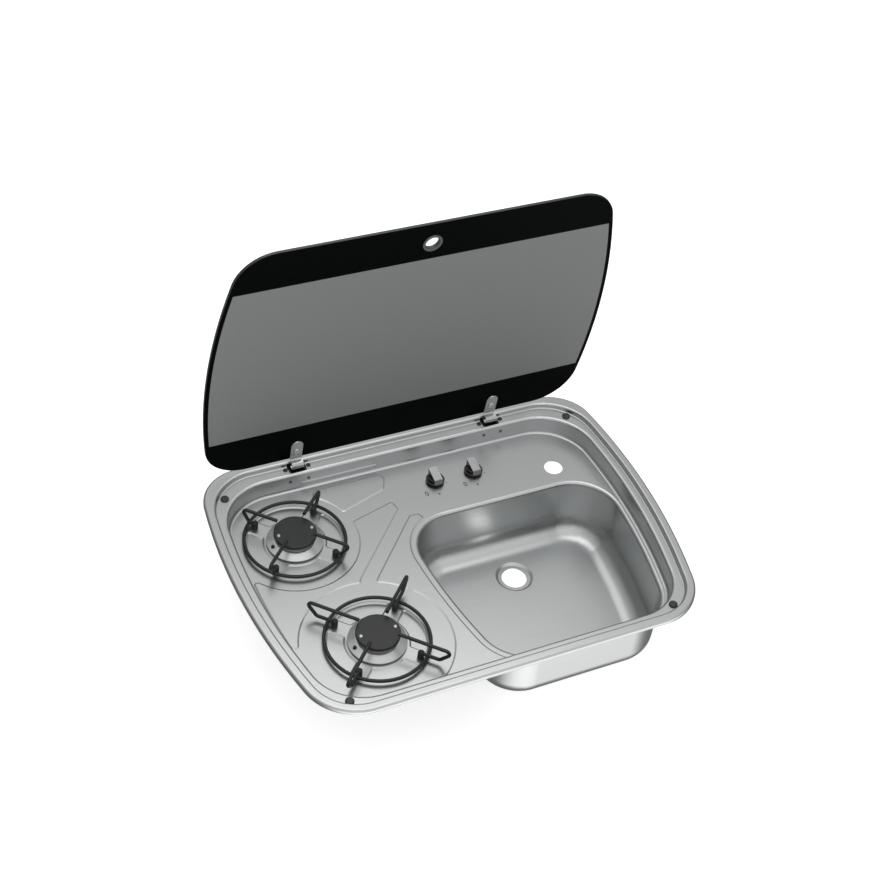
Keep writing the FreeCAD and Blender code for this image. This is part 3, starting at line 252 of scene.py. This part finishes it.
# Knobs: gloss black mouldings pushed on to the spindles, with a silver cap let into each grip.
# The cap is plated plastic, a darker and smoother silver than the sheet round it.
gloss = finish("gloss_black_moulding", "#0a0a0b", "#0e0e10", (0.14, 0.2), (200, 200, 200), coat=0.3)
silver = finish("satin_silver_plating", "#8e8f90", "#808182", (0.22, 0.3), (600, 600, 600), metallic=1.0)
for side in ("left", "right"):
    piece("knob_" + side, "knob_moulding_" + side, gloss, edge=0.0004)
    piece("knob_blade_" + side, "knob_grip_cap_" + side, silver, edge=0.0003)

# Knob marks: signs printed on the deck beside each knob, an oval ring for the large flame with a dot for off
# and a smaller dot for the small flame. The ink is matt dark grey and a few hundredths of a millimetre thick.
ink = finish("printed_grey_ink", "#3a3b3c", "#454647", (0.45, 0.55), (800, 800, 800))
ink_sheet = 0.00004
ring_line = 0.0012
ring_at = (-0.0208, -0.0192)
ring_size = (0.0025, 0.0044)
dots = (((-0.0043, -0.0252), 0.0015), ((0.014, -0.0075), 0.0009))
deck_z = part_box("valve_nuts")[0][2]
for side in ("left", "right"):
    low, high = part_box("knob_" + side)
    middle = Vector(((low[0] + high[0]) / 2, (low[1] + high[1]) / 2, deck_z))
    marks = bpy.data.objects.new("knob_marks_" + side, bpy.data.meshes.new("knob_marks_" + side))
    bpy.context.scene.collection.objects.link(marks)
    bpy.ops.object.select_all(action="DESELECT")
    marks.select_set(True)
    bpy.context.view_layer.objects.active = marks
    bpy.ops.object.mode_set(mode="EDIT")
    bpy.ops.mesh.primitive_circle_add(vertices=48, radius=1, fill_type="NGON")
    bpy.ops.transform.resize(value=(ring_size[0], ring_size[1], 1))
    bpy.ops.transform.translate(value=middle + Vector((*ring_at, 0)))
    bpy.ops.mesh.inset(thickness=ring_line)
    bpy.ops.mesh.delete(type="FACE")
    for spot, radius in dots:
        bpy.ops.mesh.primitive_circle_add(vertices=32, radius=radius, fill_type="NGON",
                                          location=middle + Vector((*spot, 0)))
    bpy.ops.object.mode_set(mode="OBJECT")
    layer = marks.modifiers.new("ink", "SOLIDIFY")
    layer.thickness = ink_sheet
    layer.offset = 1
    bpy.ops.object.modifier_apply(modifier=layer.name)
    marks.data.materials.append(ink)
    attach(marks, "pan")

# Hinge leaves: strips of stainless, curled round the pin, led under the rim edge and bent up to the glass.
# The strip keeps its rolled grain along its length and is a little duller than the pan.
strip = finish("bent_stainless_strip", "#b4b6b6", "#a0a2a2", (0.18, 0.28), (900, 60, 60), metallic=1.0)
for name in ("hinge_leaf_left", "hinge_leaf_right"):
    piece(name, name + "_strip", strip)

# Hinge brackets: bent steel boxes under the ledge that carry the pins, with a shield behind each leaf.
# They are coloured black, partly as a black coating and partly as painted shade, which keeps the slots round
# the leaves dark as if in shadow.
slot_shade_black = finish("black_steel_slot_shade", "#141516", "#1d1e1f", (0.45, 0.6), (400, 400, 400))
for name in ("hinge_bracket_left", "hinge_bracket_right"):
    piece(name, name + "_box", slot_shade_black)

# Bracket screws and rivets: small steel fixings through the ledge and the back wall of the recess.
# The screws are dark plated, and the rivets a lighter grey.
for name, code, shade in (("hinge_screws", "#4e4f50", "#3f4041"),
                          ("hinge_rivets", "#787a7a", "#6a6c6c")):
    plated = finish("plated_steel_" + name, code, shade, (0.3, 0.42), (500, 500, 500), metallic=1.0)
    piece(name, name + "_plated", plated)

# Lid fittings: clear soft pads that keep the leaf and the dome nut off the glass, and a moulded ring that
# clips into the finger hole. The pads are milky and the ring is mid grey plastic with a low sheen.
clear_pad = finish("soft_clear_pad", "#8b8c8a", "#7d7e7c", (0.4, 0.5), (300, 300, 300))
piece("lid_pads", "lid_pad_discs", clear_pad)
grey_ring = finish("grey_moulded_ring", "#46494b", "#3d4042", (0.4, 0.5), (300, 300, 300))
piece("lid_grommet", "lid_finger_ring", grey_ring)

# Glass lid: a pane of 4 mm toughened float glass with ground edges, clamped by its two screws.
# The print is two black bands, a black side border and a fine dot screen that reads as grey between them.
# The inner face shows the print itself, and the outer face shows it through polished glass.
band_front_y = -0.147
band_back_y = 0.1335
border = 0.006
side_bow_r = 0.876
widest_y = 0.052
dot_pitch = 0.0016
dot_r = 0.3
print_start = 1.0
face_lean = 0.9
lid_joint = joints["lid_hinge"]
pivot = Vector(lid_joint["pos_m"])
lid_turn = Matrix.Rotation(math.radians(lid_joint["range_deg"][1]), 3, "X")
shut = pivot - lid_turn @ pivot
lid_half = (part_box("glass_lid")[1][0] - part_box("glass_lid")[0][0]) / 2


def printed_glass(name, dark, dot, rough):
    material = bpy.data.materials.new(name)
    material.use_nodes = True
    tree = material.node_tree
    shader = tree.nodes["Principled BSDF"]

    def calc(operation, *values):
        node = add(tree, "ShaderNodeMath", settings={"operation": operation})
        for socket, value in zip(node.inputs, values):
            if isinstance(value, (int, float)):
                socket.default_value = value
            else:
                tree.links.new(value, socket)
        return node.outputs[0]

    place = add(tree, "ShaderNodeTexCoord")
    flat = add(tree, "ShaderNodeMapping", {"Vector": place.outputs["Object"]}, Location=shut,
               Rotation=(math.radians(lid_joint["range_deg"][1]), 0, 0))
    split = add(tree, "ShaderNodeSeparateXYZ", {"Vector": flat.outputs["Vector"]})
    x, y = split.outputs["X"], split.outputs["Y"]
    across = calc("ADD", calc("ABSOLUTE", x), side_bow_r - lid_half)
    along = calc("SUBTRACT", y, widest_y)
    square = calc("ADD", calc("MULTIPLY", across, across), calc("MULTIPLY", along, along))
    from_centre = calc("SQRT", square)
    edge = calc("GREATER_THAN", from_centre, side_bow_r - border)
    front = calc("LESS_THAN", y, band_front_y)
    back = calc("GREATER_THAN", y, band_back_y)
    solid = calc("MAXIMUM", edge, calc("MAXIMUM", front, back))
    u = calc("SUBTRACT", calc("FRACT", calc("DIVIDE", calc("ADD", x, print_start), dot_pitch)), 0.5)
    v = calc("SUBTRACT", calc("FRACT", calc("DIVIDE", calc("ADD", y, print_start), dot_pitch)), 0.5)
    reach = calc("ADD", calc("MULTIPLY", u, u), calc("MULTIPLY", v, v))
    spot = calc("LESS_THAN", reach, dot_r * dot_r)
    screen = add(tree, "ShaderNodeMix", {"Factor": spot}, {"data_type": "RGBA"})
    screen.inputs[6].default_value = linear("#7b7d7c")
    screen.inputs[7].default_value = linear(dot)
    whole = add(tree, "ShaderNodeMix", {"Factor": solid}, {"data_type": "RGBA"})
    tree.links.new(screen.outputs[2], whole.inputs[6])
    whole.inputs[7].default_value = linear(dark)
    tree.links.new(whole.outputs[2], shader.inputs["Base Color"])
    shader.inputs["Roughness"].default_value = rough
    return material


print_face = printed_glass("screen_printed_glass", "#020303", "#686a69", 0.5)
print_face.node_tree.nodes["Principled BSDF"].inputs["Specular IOR Level"].default_value = 0.02
gloss_face = printed_glass("polished_printed_glass", "#08090a", "#585c59", 0.04)
ground = finish("ground_glass_edge", "#2b3230", "#242a28", (0.15, 0.25), (200, 200, 200))
lid = piece("glass_lid", "glass_lid_pane", print_face)
lid.data.materials.append(gloss_face)
lid.data.materials.append(ground)
lid.visible_glossy = False
up = lid_turn.transposed() @ Vector((0, 0, 1))
for face in lid.data.polygons:
    lean = face.normal.dot(up)
    face.material_index = 0 if lean < -face_lean else 1 if lean > face_lean else 2

# Studio: a white paper floor just under the bowl, a surround that is bright above and in front, and one
# large soft lamp overhead. The floor glows a little, so that it stays white beside the steel, and steel does
# not mirror it, which keeps the dark lines along the rim and the corners of the bowl.
floor_size = 40
floor_gap = 0.0005
bpy.ops.mesh.primitive_plane_add(size=floor_size, location=(0, 0, cad_box[0][2] - floor_gap))
floor = bpy.context.active_object
floor.name = "studio_floor"
paper = finish("white_paper_floor", "#eaeaea", "#e6e6e6", (0.85, 0.95), (40, 40, 40))
glow = paper.node_tree.nodes["Principled BSDF"]
glow.inputs["Emission Color"].default_value = linear("#ffffff")
glow.inputs["Emission Strength"].default_value = 0.62
floor.data.materials.append(paper)
floor.visible_glossy = False

world = bpy.data.worlds.new("studio")
world.use_nodes = True
tree = world.node_tree
glow = tree.nodes["Background"]
glow.inputs["Color"].default_value = linear("#ffffff")
place = add(tree, "ShaderNodeTexCoord")
split = add(tree, "ShaderNodeSeparateXYZ", {"Vector": place.outputs["Generated"]})
above = add(tree, "ShaderNodeMapRange", {"Value": split.outputs["Z"]}, From_Min=0.1, From_Max=1.0,
            To_Min=0.2, To_Max=0.95)
ahead = add(tree, "ShaderNodeMapRange", {"Value": split.outputs["Y"]}, From_Min=-0.25, From_Max=-0.7,
            To_Min=0.0, To_Max=1.0)
below = add(tree, "ShaderNodeMapRange", {"Value": split.outputs["Z"]}, From_Min=0.3, From_Max=-0.5,
            To_Min=0.45, To_Max=2.2)
front = add(tree, "ShaderNodeMath", {0: ahead.outputs["Result"], 1: below.outputs["Result"]},
            {"operation": "MULTIPLY"})
both = add(tree, "ShaderNodeMath", {0: above.outputs["Result"], 1: front.outputs["Value"]})
tree.links.new(both.outputs["Value"], glow.inputs["Strength"])
bpy.context.scene.world = world
bpy.context.scene.view_settings.view_transform = "Standard"

lamp = bpy.data.lights.new("softbox", "AREA")
lamp.size = 1.6
lamp.energy = 10
box = bpy.data.objects.new("softbox", lamp)
box.location = (0.1, 0.5, 2.0)
box.rotation_euler = (-Vector(box.location)).to_track_quat("-Z", "Y").to_euler()
bpy.context.scene.collection.objects.link(box)

# Camera: a long lens, above and to the left of the front edge. Its place and its turn follow from the rim's
# outline in the photograph.
camera = bpy.data.cameras.new("camera")
camera.sensor_width = 36
camera.lens = 64.46
view = bpy.data.objects.new("camera", camera)
right = Vector((0.91085, -0.40356, 0.08654))
upward = Vector((0.21865, 0.64963, 0.72811))
back = -Vector((0.35006, 0.64429, -0.67996))
turn = Matrix((right, upward, back)).transposed().to_4x4()
view.matrix_world = Matrix.Translation((-0.7176, -1.2318, 1.5118)) @ turn
bpy.context.scene.collection.objects.link(view)
bpy.context.scene.camera = view
